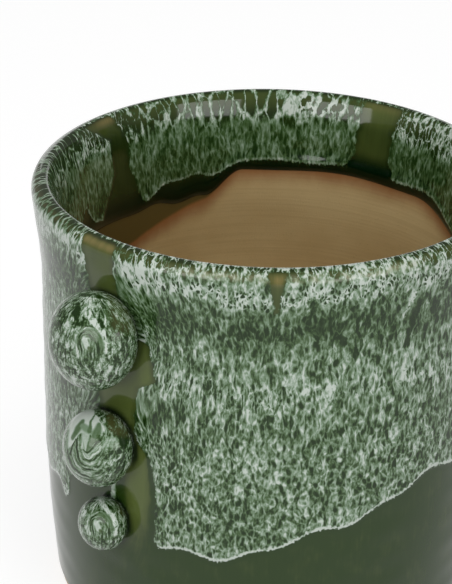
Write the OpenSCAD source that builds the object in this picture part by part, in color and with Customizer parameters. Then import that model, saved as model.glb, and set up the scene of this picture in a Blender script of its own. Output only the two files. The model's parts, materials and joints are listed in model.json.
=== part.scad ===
// Glazed clay planter: a straight-sided pot with a flared, rounded lip and a
// column of three hollow clay balls luted to its wall. Millimetres, +Z up,
// origin at the centre of the foot ring, ball column facing -Y.

/* [Pot] */
// Overall height from the foot ring to the top of the lip
pot_h = 188; // [150:1:260]
// Outside diameter across the lip, over the glaze
lip_d = 200; // [160:1:260]
// How far the lip leans out beyond the straight wall
flare_out = 3.5; // [0:0.5:10]
// Depth below the lip at which the flare dies into the wall
flare_h = 41; // [25:1:60]
// Wall thickness over the glaze
wall_t = 10.4; // [9:0.2:14]
// Rounding radius of the lip's outer edge, the rest of the wall rounds inward
lip_round = 5.6; // [3.5:0.1:6.2]
// Depth over which the lip's inner edge eases into the wall
lip_ease_h = 18; // [10:0.5:24]
// How far the wall tucks in towards the foot
tuck_in = 4; // [0:0.5:8]
// Height over which the wall tucks in
tuck_h = 68; // [30:1:90]
// Rounding radius where the wall turns under
base_round = 5; // [3:0.5:8]
// Fillet radius between the inner wall and the floor
floor_fillet = 12; // [5:0.5:20]
// Floor thickness at the drain hole
floor_t = 10; // [6:0.5:16]
// Width of the ring the pot stands on
foot_w = 12; // [8:1:20]
// Height of the recess inside the foot ring
foot_recess = 3; // [2:0.5:6]
// Diameter of the drain hole
drain_d = 16; // [8:0.5:30]

/* [Balls] */
// Diameter of the upper ball, over the glaze
upper_ball_d = 41; // [32:0.5:50]
// Diameter of the middle ball, over the glaze
middle_ball_d = 33; // [24:0.5:38]
// Diameter of the lower ball, over the glaze
lower_ball_d = 23.4; // [20:0.2:30]
// Depth of the upper ball's centre below the lip
upper_ball_drop = 40; // [32:0.5:50]
// Clear wall between the upper and the middle ball
upper_gap = 12; // [6:0.5:20]
// Clear wall between the middle and the lower ball
lower_gap = 8; // [5:0.5:14]
// Thickness of a ball along its own axis, as a share of its diameter
ball_flatness = 0.715; // [0.6:0.005:1]
// Stand-off of a ball's centre from the wall, as a share of half its thickness
stand_share = 0.6; // [0.5:0.01:0.75]
// Shell thickness of the hollow balls
ball_shell = 4.5; // [3:0.1:5]
// Thickness of the slip that joins a ball to the wall, at its middle
slip_t = 1.2; // [0.8:0.1:2]
// Diameter of the air vent behind each ball
vent_d = 2.5; // [1.5:0.1:4]

/* [Glaze] */
// Thickness of the green base glaze
green_t = 0.6; // [0.4:0.05:0.9]
// Thickness of the white glaze over it
white_t = 0.4; // [0.2:0.05:0.6]
// Width of the bare clay band between the turned-under base and the outer glaze
bare_band = 1; // [0.5:0.5:10]
// Depth of the inner glaze line below the lip where the glaze ran deepest
inner_line_deep = 48.5; // [42:0.5:60]
// Depth of the inner glaze line where it stayed highest
inner_line_high = 36; // [25:0.5:40]
// Green glaze left bare below the white inside
inner_green_band = 4.5; // [2:0.5:8]
// Mean depth of the white glaze's lower edge outside
white_drop = 116; // [90:1:130]
// How far the white edge swings up and down round the pot
white_swing = 16; // [5:1:20]
// Half width of the bare green run inside, left of the far field
left_run_half_w = 5; // [3:0.5:8]
// Half width of the bare green run inside, right of the far field
right_run_half_w = 8; // [3:0.5:12]
// Half width of the bare green run from the lip to the upper ball
column_run_half_w = 6; // [3:0.5:9]
// Half width of the bare green run beside the balls
side_run_half_w = 9; // [5:0.5:12]
// Half width of the bare green field below the middle ball
low_run_half_w = 24; // [15:1:30]
// Width and depth of the notch in the white at the front of the lip
notch_w = 5; // [3:0.5:10]
notch_h = 15; // [8:0.5:22]
// Clearance of the white glaze round the balls
white_gap = 0.3; // [0.2:0.1:1]

/* [Hidden] */

clay_colour = [0.56, 0.42, 0.28];
slip_colour = [0.50, 0.36, 0.24];
green_colour = [0.16, 0.23, 0.08];
white_colour = [0.72, 0.77, 0.71];
mottled_colour = [0.42, 0.51, 0.40];

coat_t = green_t + white_t;
wall_r = lip_d / 2 - flare_out;
line_steps = 90;
lip_steps = 7;
flare_steps = 8;
tuck_steps = 7;
corner_steps = 5;
ball_steps = 18;
eps = 0.01;
over = 1;
// Room below the named depths for the waves of a glaze edge
edge_room = 12;

// Ball sizes and places, upper to lower
ball_ds = [upper_ball_d, middle_ball_d, lower_ball_d];
ball_drops = [
    upper_ball_drop,
    upper_ball_drop + upper_ball_d / 2 + upper_gap + middle_ball_d / 2,
    upper_ball_drop + upper_ball_d / 2 + upper_gap + middle_ball_d
        + lower_gap + lower_ball_d / 2
];
ball_az = 270;

// Azimuths of the bare runs and the notch in the white glaze
left_run_az = 181;
right_run_az = 99.5;
side_run_az = 276.5;
notch_az = 312;

// ---------- The wall's outline ----------

// 0 to 1 along a smooth step
function smooth(x) = let (t = min(max(x, 0), 1)) t * t * (3 - 2 * t);

// Outside radius of the glazed wall at a depth below the lip
function outer_r(d) =
    wall_r
    + flare_out * (d < flare_h ? 0.5 + 0.5 * cos(180 * d / flare_h) : 0)
    - tuck_in * (d > pot_h - tuck_h ? 1 - cos(90 * (d - pot_h + tuck_h) / tuck_h) : 0);

// Inside radius of the glazed wall at a depth: a quarter ellipse from the lip's crest,
// then a wall of even thickness
function inner_r(d) =
    outer_r(max(d, lip_round)) - lip_round
    - (wall_t - lip_round) * (d < lip_ease_h ? sqrt(1 - pow(1 - d / lip_ease_h, 2)) : 1);

// Radius of the lip's crest
lip_mid_r = outer_r(lip_round) - lip_round;

// Depths at which the wall's outline has a point, from the lip down to d_end
function wall_depths(d_end) = concat(
    [for (i = [0 : flare_steps]) let (d = lip_round + (flare_h - lip_round) * i / flare_steps)
        if (d < d_end - eps) d],
    [for (i = [0 : tuck_steps]) let (d = pot_h - tuck_h + (tuck_h - base_round) * i / tuck_steps)
        if (d > flare_h + eps && d < d_end - eps) d],
    [d_end]
);

function flip(list) = [for (i = [len(list) - 1 : -1 : 0]) list[i]];

// Outer wall from depth d_end up to the lip, set in by a thickness
function outer_line(inset, d_end) =
    [for (d = flip(wall_depths(d_end))) [outer_r(d) - inset, pot_h - d]];

// Inner wall from the lip down to depth d_end, set in by a thickness
function inner_line(inset, d_end) = concat(
    [for (i = [1 : lip_steps]) let (a = 90 * i / lip_steps, d = lip_ease_h * (1 - cos(a)))
        [inner_r(d) + inset * sin(a), pot_h - d - inset * cos(a)]],
    [for (d = wall_depths(d_end)) if (d > lip_ease_h + eps) [inner_r(d) + inset, pot_h - d]]
);

// The lip's outer rounding up to its crest, set in by a thickness
function lip_arc(inset) =
    [for (i = [1 : lip_steps]) let (a = 90 * i / lip_steps)
        [lip_mid_r + (lip_round - inset) * cos(a), pot_h - lip_round + (lip_round - inset) * sin(a)]];

function over_lip(inset, d_out, d_in) =
    concat(outer_line(inset, d_out), lip_arc(inset), inner_line(inset, d_in));

// A quarter round about a centre, from angle a0 to a1
function corner(c, r, a0, a1) =
    [for (i = [0 : corner_steps]) let (a = a0 + (a1 - a0) * i / corner_steps)
        c + r * [cos(a), sin(a)]];

// The solid inside the outer surface, for seating what sits on the wall
module wall_blank(inset) {
    rotate_extrude($fn = 180)
        polygon(concat([[0, base_round]], outer_line(inset, pot_h - base_round),
            lip_arc(inset), [[0, pot_h - inset]]));
}

// ---------- Glaze lines round the pot ----------

// Depth of the green glaze's lower edge inside, two shallow fields and two deep ones
function inner_green_d(az) =
    inner_line_deep
    - (inner_line_deep - inner_line_high) * smooth((152 - az) / 12) * smooth((az - 58) / 26)
    - (inner_line_deep - inner_line_high) / 2 * smooth((300 - az) / 30) * smooth((az - 225) / 20)
    + 0.5 * sin(9 * az);

// Depth of the white glaze's lower edge inside
function inner_white_d(az) =
    inner_green_d(az) - inner_green_band
    - 6 * smooth((az - 140) / 14) * smooth((172 - az) / 10)
    + 0.7 * sin(13 * az);

// Depth of the white glaze's lower edge outside, with runs and short drips
function outer_white_d(az) =
    white_drop + white_swing * cos(az - 235) + 6 * cos(3 * (az - 298))
    + 1.5 * sin(11 * az) + 1.2 * sin(23 * az + 40);

// A ring below a wavy edge, which takes the glaze away under it
module below_edge(r_in, r_out, depths, d_low) {
    n = len(depths);
    rings = [for (i = [0 : n - 1]) let (a = 360 * i / n, c = [cos(a), sin(a)])
        each [[r_in * c[0], r_in * c[1], pot_h - depths[i]],
              [r_out * c[0], r_out * c[1], pot_h - depths[i]],
              [r_out * c[0], r_out * c[1], pot_h - d_low],
              [r_in * c[0], r_in * c[1], pot_h - d_low]]];
    sides = [for (i = [0 : n - 1], k = [0 : 3])
        let (a = 4 * i + k, b = 4 * i + (k + 1) % 4, j = (i + 1) % n,
             c = 4 * j + (k + 1) % 4, d = 4 * j + k)
        each [[a, c, b], [a, d, c]]];
    polyhedron(rings, sides);
}

function edge_azimuths() = [for (i = [0 : line_steps - 1]) 360 * i / line_steps];

// A bare run through the white glaze: a slot with round ends, cut along a radius
module run_slot(az, half_w, d_top, d_end, r_from, r_to) {
    rotate([0, 0, az]) translate([r_from, 0, pot_h]) rotate([90, 0, 90])
        linear_extrude(r_to - r_from) union() {
            translate([-half_w, -(d_end - half_w)]) square([2 * half_w, d_end - d_top - 2 * half_w]);
            translate([0, -(d_top + half_w)]) circle(half_w, $fn = 48);
            translate([0, -(d_end - half_w)]) circle(half_w, $fn = 48);
        }
}

// ---------- Pot ----------

module pot_body() {
    foot_out_r = outer_r(pot_h - base_round) - coat_t - base_round;
    foot_in_r = foot_out_r - foot_w;
    floor_z = foot_recess + floor_t;
    fillet_d = pot_h - floor_z - floor_fillet;
    color(clay_colour)
    difference() {
        rotate_extrude($fn = 180)
            polygon(concat(
                [[foot_out_r, 0]],
                corner([foot_out_r, base_round], base_round, -90, 0),
                over_lip(coat_t, pot_h - base_round - eps, fillet_d),
                corner([inner_r(fillet_d) + coat_t - floor_fillet, floor_z + floor_fillet],
                    floor_fillet, 0, -90),
                [[0, floor_z], [0, foot_recess]],
                corner([foot_in_r - foot_recess / 2, foot_recess / 2], foot_recess / 2, 90, 0),
                [[foot_in_r, 0]]
            ));
        translate([0, 0, -over]) cylinder(h = floor_z + 2 * over, d = drain_d, $fn = 64);
        for (k = [0 : 2]) on_wall(ball_drops[k], inner_r(ball_drops[k]) - over)
            cylinder(h = wall_t + 2 * over, d = vent_d, $fn = 32);
    }
}

// ---------- Balls ----------

// Turns a child's Z axis along the ball column's radius, at a depth and radius
module on_wall(d, r) {
    rotate([0, 0, ball_az]) translate([r, 0, pot_h - d]) rotate([0, 90, 0]) children();
}

// Solid flattened ball on the Z axis, set in by a thickness
module flat_ball(diameter, inset) {
    a = diameter / 2 - inset;
    b = diameter * ball_flatness / 2 - inset;
    rotate_extrude($fn = 96)
        polygon([for (i = [0 : ball_steps]) let (t = -90 + 180 * i / ball_steps)
            [a * cos(t), b * sin(t)]]);
}

// Radius at which ball k's centre stands, and at which its flat seat lies
function centre_r(k) = outer_r(ball_drops[k]) + stand_share * ball_ds[k] * ball_flatness / 2;
function seat_r(k) = outer_r(ball_drops[k]) - coat_t + slip_t;

// Radius of the flat seat of ball k
function seat_w(k) =
    let (a = ball_ds[k] / 2 - coat_t, b = ball_ds[k] * ball_flatness / 2 - coat_t,
         h = centre_r(k) - seat_r(k))
    a * sqrt(1 - h * h / (b * b));

module ball(k) {
    color(clay_colour)
    difference() {
        on_wall(ball_drops[k], centre_r(k)) flat_ball(ball_ds[k], coat_t);
        on_wall(ball_drops[k], centre_r(k)) flat_ball(ball_ds[k], coat_t + ball_shell);
        on_wall(ball_drops[k], seat_r(k) - ball_ds[k]) cylinder(h = ball_ds[k], r = ball_ds[k], $fn = 48);
        on_wall(ball_drops[k], seat_r(k) - over)
            cylinder(h = centre_r(k) - seat_r(k) + over, d = vent_d, $fn = 32);
    }
}

module ball_slip(k) {
    start = outer_r(ball_drops[k]) - wall_t / 2;
    color(slip_colour)
    difference() {
        on_wall(ball_drops[k], start) cylinder(h = seat_r(k) - start, r = seat_w(k), $fn = 96);
        wall_blank(coat_t);
        on_wall(ball_drops[k], start - over)
            cylinder(h = seat_r(k) - start + 2 * over, d = vent_d, $fn = 32);
    }
}

module ball_glaze(k) {
    start = outer_r(ball_drops[k]) - wall_t / 2;
    color(mottled_colour)
    difference() {
        on_wall(ball_drops[k], centre_r(k)) flat_ball(ball_ds[k], 0);
        on_wall(ball_drops[k], centre_r(k)) flat_ball(ball_ds[k], coat_t);
        on_wall(ball_drops[k], start) cylinder(h = seat_r(k) - start, r = seat_w(k), $fn = 96);
        wall_blank(white_t);
    }
}

module upper_ball() { ball(0); }
module middle_ball() { ball(1); }
module lower_ball() { ball(2); }
module upper_ball_slip() { ball_slip(0); }
module middle_ball_slip() { ball_slip(1); }
module lower_ball_slip() { ball_slip(2); }
module upper_ball_glaze() { ball_glaze(0); }
module middle_ball_glaze() { ball_glaze(1); }
module lower_ball_glaze() { ball_glaze(2); }

// ---------- Glaze coats ----------

// A coat between two insets, from depth d_out outside to depth d_in inside
module coat(inset, thickness, d_out, d_in) {
    rotate_extrude($fn = 180)
        polygon(concat(over_lip(inset, d_out, d_in), flip(over_lip(inset + thickness, d_out, d_in))));
}

module green_glaze() {
    d_in = inner_line_deep + edge_room;
    color(green_colour)
    difference() {
        coat(white_t, green_t, pot_h - base_round - bare_band, d_in);
        below_edge(wall_r - 2 * wall_t, wall_r - wall_t / 2,
            [for (a = edge_azimuths()) inner_green_d(a)], pot_h);
        for (k = [0 : 2]) on_wall(ball_drops[k], outer_r(ball_drops[k]) - wall_t / 2)
            cylinder(h = wall_t, r = seat_w(k), $fn = 96);
    }
}

module white_glaze() {
    d_in = inner_line_deep + edge_room;
    d_out = white_drop + white_swing + edge_room;
    color(white_colour)
    difference() {
        coat(0, white_t, d_out, d_in);
        below_edge(wall_r - 2 * wall_t, wall_r - wall_t / 2,
            [for (a = edge_azimuths()) inner_white_d(a)], pot_h);
        below_edge(wall_r - wall_t / 2, wall_r + wall_t,
            [for (a = edge_azimuths()) outer_white_d(a)], pot_h);
        // Bare green runs down the inside, left and right of the far field
        run_slot(left_run_az, left_run_half_w, -wall_t, d_in, wall_r - 2 * wall_t, lip_mid_r);
        run_slot(right_run_az, right_run_half_w, -2 * wall_t, d_in, wall_r - 2 * wall_t, lip_mid_r);
        // The run down the ball column: lip to upper ball, beside the balls, and below them
        run_slot(ball_az - 1, column_run_half_w, lip_round / 4, upper_ball_drop, lip_mid_r, wall_r + wall_t);
        run_slot(side_run_az, side_run_half_w, upper_ball_drop, pot_h, lip_mid_r, wall_r + wall_t);
        run_slot(ball_az - 4, low_run_half_w, ball_drops[1], pot_h, lip_mid_r, wall_r + wall_t);
        run_slot(notch_az, notch_w / 2, -notch_w, notch_h, lip_mid_r, wall_r + wall_t);
        for (k = [0 : 2]) on_wall(ball_drops[k], outer_r(ball_drops[k]) - wall_t / 2)
            cylinder(h = wall_t, r = ball_ds[k] / 2 + white_gap, $fn = 96);
    }
}

pot_body();
upper_ball();
middle_ball();
lower_ball();
upper_ball_slip();
middle_ball_slip();
lower_ball_slip();
upper_ball_glaze();
middle_ball_glaze();
lower_ball_glaze();
green_glaze();
white_glaze();
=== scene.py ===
import json
import math

import bpy
import numpy as np
from mathutils import Matrix, Vector

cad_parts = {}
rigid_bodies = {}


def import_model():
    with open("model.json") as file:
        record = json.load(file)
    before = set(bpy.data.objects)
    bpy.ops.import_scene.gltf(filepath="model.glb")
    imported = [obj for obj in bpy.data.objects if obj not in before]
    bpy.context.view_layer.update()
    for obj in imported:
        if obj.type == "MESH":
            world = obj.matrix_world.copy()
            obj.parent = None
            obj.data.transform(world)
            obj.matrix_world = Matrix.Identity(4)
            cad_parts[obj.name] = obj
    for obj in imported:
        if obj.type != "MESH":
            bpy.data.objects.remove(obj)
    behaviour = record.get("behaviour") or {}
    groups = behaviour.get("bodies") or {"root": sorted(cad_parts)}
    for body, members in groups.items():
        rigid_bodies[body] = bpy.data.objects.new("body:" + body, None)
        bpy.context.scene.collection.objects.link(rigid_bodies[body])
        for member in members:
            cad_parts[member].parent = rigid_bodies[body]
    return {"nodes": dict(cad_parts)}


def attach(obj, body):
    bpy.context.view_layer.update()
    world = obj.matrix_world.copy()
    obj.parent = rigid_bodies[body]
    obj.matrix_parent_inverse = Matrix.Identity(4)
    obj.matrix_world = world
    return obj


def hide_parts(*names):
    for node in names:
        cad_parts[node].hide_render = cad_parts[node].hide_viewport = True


for thing in list(bpy.data.objects):
    bpy.data.objects.remove(thing)
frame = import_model()
bpy.context.view_layer.update()

MM = 0.001

# ---- Sizes, as in the solids, in millimetres ----

POT_H = 188.0
LIP_D = 200.0
FLARE_OUT = 3.5
FLARE_H = 41.0
WALL_T = 10.4
LIP_ROUND = 5.6
LIP_EASE_H = 18.0
TUCK_IN = 4.0
TUCK_H = 68.0
BASE_ROUND = 5.0
BARE_BAND = 1.0
GREEN_T = 0.6
WHITE_T = 0.4
COAT_T = GREEN_T + WHITE_T
WALL_R = LIP_D / 2 - FLARE_OUT
INNER_LINE_DEEP = 48.5
INNER_LINE_HIGH = 36.0
INNER_GREEN_BAND = 4.5
WHITE_DROP = 116.0
WHITE_SWING = 16.0
BALL_AZ = 270.0
BALL_D = (41.0, 33.0, 23.4)
BALL_DROP = (40.0, 89.0, 125.2)
BALL_FLATNESS = 0.715
STAND_SHARE = 0.6

# ---- Sizes that only the dressed look has, in millimetres ----

BALL_OVAL = 1.12
BALL_LEAN = math.radians(56)
REACH_INSIDE = 120.0


# ---- Small numeric helpers ----

def smooth(x):
    """0 to 1 along a smooth step."""
    t = np.clip(x, 0, 1)
    return t * t * (3 - 2 * t)


def ramp(x, start, end):
    """0 before start, 1 after end, smooth between them."""
    return smooth((x - start) / (end - start))


def fall(x, start, end):
    """1 before start, 0 after end, smooth between them."""
    return 1 - ramp(x, start, end)


def bump(x, centre, half):
    """A soft bump of height 1 round a centre."""
    return np.exp(-((x - centre) / half) ** 2)


def sines(x, seed, *cycles):
    """A sum of seeded sines, each with its own number of cycles per 360 degrees."""
    rng = np.random.default_rng(seed)
    total = np.zeros_like(np.asarray(x, float))
    for n in cycles:
        total += np.sin(np.radians(n * x) + rng.uniform(0, 2 * np.pi))
    return total / math.sqrt(len(cycles))


def along(x, *points):
    """A curve through a few (place, value) points, eased between them."""
    value = np.full(np.shape(x), float(points[0][1]))
    for (x0, y0), (x1, y1) in zip(points[:-1], points[1:]):
        value += (y1 - y0) * ramp(x, x0, x1)
    return value


# ---- The wall's outline ----

def outer_r(d):
    """Outer radius of the glazed wall at a depth below the crest."""
    flare = np.where(d < FLARE_H, 0.5 + 0.5 * np.cos(np.pi * d / FLARE_H), 0)
    tuck = np.clip((d - POT_H + TUCK_H) / TUCK_H, 0, 1)
    return WALL_R + FLARE_OUT * flare - TUCK_IN * (1 - np.cos(np.pi / 2 * tuck))


def inner_r(d):
    """Inner radius of the glazed wall at a depth below the crest."""
    ease = np.sqrt(1 - (1 - np.minimum(d, LIP_EASE_H) / LIP_EASE_H) ** 2)
    return outer_r(np.maximum(d, LIP_ROUND)) - LIP_ROUND - (WALL_T - LIP_ROUND) * ease


def meridian():
    """The glazed outline, up the outside and down the inside: (s, r, z) with s 0 on the crest."""
    mid_r = outer_r(LIP_ROUND) - LIP_ROUND
    wall = np.linspace(POT_H - BASE_ROUND, LIP_ROUND, 900)
    turn = np.linspace(0, np.pi / 2, 120)[1:]
    inside = np.linspace(LIP_EASE_H, REACH_INSIDE, 500)[1:]
    inside = np.concatenate([LIP_EASE_H * (1 - np.cos(turn)), inside])
    r = np.concatenate([outer_r(wall), mid_r + LIP_ROUND * np.cos(turn), inner_r(inside)])
    z = np.concatenate([POT_H - wall, POT_H - LIP_ROUND + LIP_ROUND * np.sin(turn), POT_H - inside])
    s = np.concatenate([[0], np.cumsum(np.hypot(np.diff(r), np.diff(z)))])
    return s - s[len(wall) + len(turn) - 1], r, z


M_S, M_R, M_Z = meridian()
M_TR, M_TZ = np.gradient(M_R, M_S), np.gradient(M_Z, M_S)


def on_meridian(s):
    """Radius, height and outward normal of the glazed outline at s."""
    r, z = np.interp(s, M_S, M_R), np.interp(s, M_S, M_Z)
    tr, tz = np.interp(s, M_S, M_TR), np.interp(s, M_S, M_TZ)
    size = np.hypot(tr, tz)
    return r, z, tz / size, -tr / size


def s_outside(d):
    """The outline's s at a depth outside."""
    below = M_S < 0
    return np.interp(POT_H - d, M_Z[below], M_S[below])


def s_inside(d):
    """The outline's s at a depth inside."""
    beyond = M_S >= 0
    return np.interp(d, POT_H - M_Z[beyond], M_S[beyond])


# ---- Where the white glaze ends ----

# Azimuths of its runs, drips and notch, in degrees
LEFT_RUN_AZ = 180.5
RIGHT_RUN_AZ = 99.0
DRIP_AZ = 249.5
WHITE_RUN_AZ = 270.8
NOTCH_AZ = 312.3
# How much longer than the depth the outline is, as it rounds the lip
LIP_DETOUR = 3.3


def inner_green_d(az):
    """Depth inside where the green glaze ends."""
    step = INNER_LINE_DEEP - INNER_LINE_HIGH
    far = smooth((152 - az) / 12) * smooth((az - 58) / 26)
    near = smooth((300 - az) / 30) * smooth((az - 225) / 20)
    knocks = 1.2 * bump(az, 154, 3.5) - 0.8 * bump(az, 161, 4) + 2.2 * bump(az, 168, 5)
    return INNER_LINE_DEEP - step * far - step / 2 * near + 0.5 * np.sin(np.radians(9 * az)) - knocks


def inner_white_d(az):
    """Depth inside where the white glaze ends."""
    lift = 6 * smooth((az - 140) / 14) * smooth((172 - az) / 10)
    return inner_green_d(az) - INNER_GREEN_BAND - lift + 0.7 * np.sin(np.radians(13 * az))


def outer_white_d(az):
    """Depth outside where the white glaze ends."""
    wave = 6 * np.cos(np.radians(3 * (az - 298))) + 1.5 * np.sin(np.radians(11 * az))
    swing = WHITE_SWING * np.cos(np.radians(az - 235))
    return WHITE_DROP + swing + wave + 1.2 * np.sin(np.radians(23 * az + 40))


def arc_mm(az, centre):
    """Distance along the wall from an azimuth, in millimetres."""
    return WALL_R * np.radians((az - centre + 180) % 360 - 180)


def around(az, centre, half):
    """A soft bump round an azimuth, its half width in millimetres."""
    return bump(arc_mm(az, centre), 0, half)


def low_edge(az, s):
    """How far a point lies above the white glaze's lower edge, in millimetres."""
    arch = 11 * around(az, 199.5, 5.5) - 1.5 * around(az, 189.5, 3.5)
    low_inside = s_inside(inner_white_d(az) - arch) - s
    drip = 5 * around(az, DRIP_AZ, 3.2) + 4 * around(az, WHITE_RUN_AZ, 1.2)
    low_outside = s - s_outside(outer_white_d(az) + drip)
    return np.where(s > 0, low_inside, low_outside)


def strip(az, centre, half, short):
    """Below 0 in a bare run; short is how far a point lies before its start."""
    return np.maximum(np.abs(arc_mm(az, centre)) - half, short)


def left_run(az, s, sway):
    """The bare run inside on the left, which leans and widens."""
    lean = fall(s, 0, 14)
    centre = LEFT_RUN_AZ + 6.5 * lean + ramp(s, 30, 42)
    half = 5.6 + 3.2 * lean + 8 * ramp(s, 26, 46) + 0.4 * sway
    return strip(az, centre, half, 0.5 - s)


def right_run(az, s, sway):
    """The bare run inside on the right, nearly straight."""
    centre = RIGHT_RUN_AZ + 1.5 * ramp(s, 0, 20)
    half = 9.4 + 3.5 * ramp(s, 24, 36) + 0.4 * sway
    return strip(az, centre, half, 1 - s)


def ball_run(az, s, sway):
    """The bare column round the balls, with a run of white below them."""
    d = -s - LIP_DETOUR
    left = along(d, (0, 263), (24, 264.8), (60, 266.5), (84, 266.5), (108, 258), (122, 252))
    right = along(d, (0, 272.8), (21, 273.6), (35, 274), (40, 281.8), (54, 283.4), (61, 278.8),
                  (70, 277.7), (81, 277.6), (92, 282.2), (104, 283.4))
    half = WALL_R * np.radians(right - left) / 2 + 0.3 * sway
    column = strip(az, (left + right) / 2, half, s + 1)
    white_run = np.minimum(1.4 - np.abs(arc_mm(az, WHITE_RUN_AZ)), -107 - s)
    return np.maximum(column, white_run)


def lip_notch(az, s):
    """The notch that breaks the white on the front of the lip."""
    half = along(-s, (4, 3.3), (11, 2.1), (15, 1.3), (21, 0.8))
    return np.maximum(strip(az, NOTCH_AZ, half, s + 2.5), -s - 21)


def rounded_least(*distances):
    """The least of some distances, with rounded corners."""
    soft = 0.9
    return -soft * np.log(sum(np.exp(-np.clip(d, -30, 30) / soft) for d in distances))


def white_distance(az, s):
    """How far a point lies inside the white glaze, in millimetres: below 0 where it is bare."""
    sway = 1.2 * sines(3.1 * s, 5, 9, 17)
    return rounded_least(low_edge(az, s), left_run(az, s, sway), right_run(az, s, sway),
                         ball_run(az, s, sway), lip_notch(az, s))


# ---- How thick the white lies ----

def white_cover(az, s):
    """How much the white hides, 0 to 1, before its flecks are cut."""
    wavy = s + 1.8 * sines(az, 11, 5, 9, 16) + 1.3 * sines(az, 12, 31, 47) + sines(az, 13, 83, 121)
    inside = cover_inside(az, s, wavy) * ramp(s, 0, 4) + 0.35 * fall(s, 0, 4)
    cover = np.where(s > 0, inside, cover_outside(az, s, wavy))
    return cover - 0.12 * left_rim(az) * ramp(s, -9, -4) * fall(s, 5, 10)


def cover_outside(az, s, wavy):
    """Cover on the wall: level bands, leaning streaks, and runs at the lower edge."""
    low = 2.2 * around(az, 312, 30)
    # The dip round -28 mm, below the lip, is the glaze's darker band deepened as painted shade under the lip
    cover = 0.42 + 0.23 * bump(wavy + low, -12, 5.2) - 0.24 * bump(wavy, -28, 8)
    cover = cover + 0.12 * bump(wavy, -57, 11) - 0.09 * bump(wavy, -73, 6)
    cover = cover + 0.03 * bump(wavy, -90, 10) - 0.12 * bump(s, -3, 4) * (1 - 0.4 * lip_front(az))
    cover += 0.05 * around(az, 334, 26) * bump(s, -5, 4)
    # Streaks: white and green on the right, and white beside the upper ball
    cover += 0.6 * slanted(az, s, 345.2, -18, 342.5, -29, 1.1)
    cover -= 0.45 * slanted(az, s, 346.9, -19, 344.3, -44, 1)
    cover += 0.45 * slanted(az, s, 281.5, -35.5, 279.3, -46, 1.3)
    # The run below the balls and the drip on their left
    cover += 0.42 * bump(arc_mm(az, WHITE_RUN_AZ), -0.5, 1) * ramp(s, -103, -109)
    return cover + 0.35 * around(az, DRIP_AZ, 3.6) * fall(low_edge(az, s), 2, 9)


def cover_inside(az, s, wavy):
    """Cover inside: a level band, and thicker places at the back."""
    cover = 0.325 + 0.08 * bump(wavy, 14, 5) - 0.05 * ramp(wavy, 22, 40)
    cover += 0.08 * wide_cells(az, s) * bump(wavy, 12, 3.5)
    cover += 0.26 * bump(az, 119, 13) * fall(s, 7, 13)
    return cover + 0.14 * bump(az, 80, 10) * fall(s, 4, 10) - 0.04 * bump(az, 76, 14) * ramp(s, 8, 14)


def slanted(az, s, az_top, s_top, az_low, s_low, half):
    """1 along a leaning streak on the wall, fading at its ends."""
    share = (s - s_top) / (s_low - s_top)
    aside = arc_mm(az, az_top + share * (az_low - az_top))
    return bump(aside, 0, half) * ramp(share, -0.1, 0.15) * fall(share, 0.85, 1.1)


# ---- Where the glaze looks different ----

def lip_front(az):
    """1 along the front of the lip, where the white kept only small holes."""
    return ramp(az, 282, 296) * fall(az, 338, 352)


def left_rim(az):
    """1 along the left of the lip, where cells stay dark and threads thin."""
    return ramp(az, 192, 202) * fall(az, 252, 262)


def coarse_cells(az, s):
    """1 on the lip, where the white pulled into cells."""
    edge = 1.5 * sines(az, 21, 8, 15, 29)
    down = s + edge - 3.5 * lip_front(az)
    return ramp(down, -12, -7) * fall(s + edge, 10, 19)


def wide_cells(az, s):
    """1 along the back of the lip inside, where the threads stand far apart."""
    return ramp(az, 100, 112) * fall(az, 168, 180) * ramp(s, -4, 2)


def ribbed_cells(az, s):
    """1 on the left rim, where the white stayed in ribs."""
    return left_rim(az) * ramp(s, -13, -8) * fall(s, 9, 15)


def cream_ridge_and_highlight(az, s):
    """1 on the front of the lip, where the white turned cream over the ridge and a painted highlight lies
    along it.
    """
    return bump(s, -5.6, 1.5) * lip_front(az)


def thin_glaze(az, s):
    """1 where the green ran thin over a ridge and shows its ochre."""
    outside = bump(s, -4.6, 1.9) * (1 - around(az, NOTCH_AZ, 5))
    outside += 1.1 * bump(s, -6.2, 2.4) * around(az, NOTCH_AZ + 0.3, 2.3)
    inside = 0.9 * bump(s, 3, 1.9) * ramp(s, -0.5, 1) * around(az, 183, 8)
    return outside + inside + 0.35 * bump(s, 3, 2) * around(az, RIGHT_RUN_AZ, 12)


def bare_light_and_highlight(az, s):
    """1 where the bare glass is thin and light olive, 0 where it is deep; two patches by the balls are
    painted highlight.
    """
    crest = ramp(np.abs(s + 0.6), 1.2, 3)
    outside = 0.47 + 0.19 * ramp(s, -40, -14) + 0.27 * bump(s, -70, 16)
    # Painted highlight over light olive glass, below the middle ball and beside the upper one
    outside += around(az, 278.2, 4.6) * bump(s, -105, 20)
    outside += 0.75 * around(az, 280.6, 2.8) * bump(s, -52, 9)
    right = around(az, 100, 20)
    inside = 0.04 + 0.76 * fall(s, 4, 15)
    inside = inside + 0.25 * right * bump(s, 10, 6) + 0.42 * right * bump(s, 24, 9)
    inside -= 0.3 * (1 - wide_cells(az, s)) * (1 - right) * fall(s, 4, 15)
    light = np.where(s > 0, inside, outside) * (0.12 + 0.88 * crest)
    return light * (1 - 0.75 * left_rim(az) * ramp(s, -12, -6))


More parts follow.
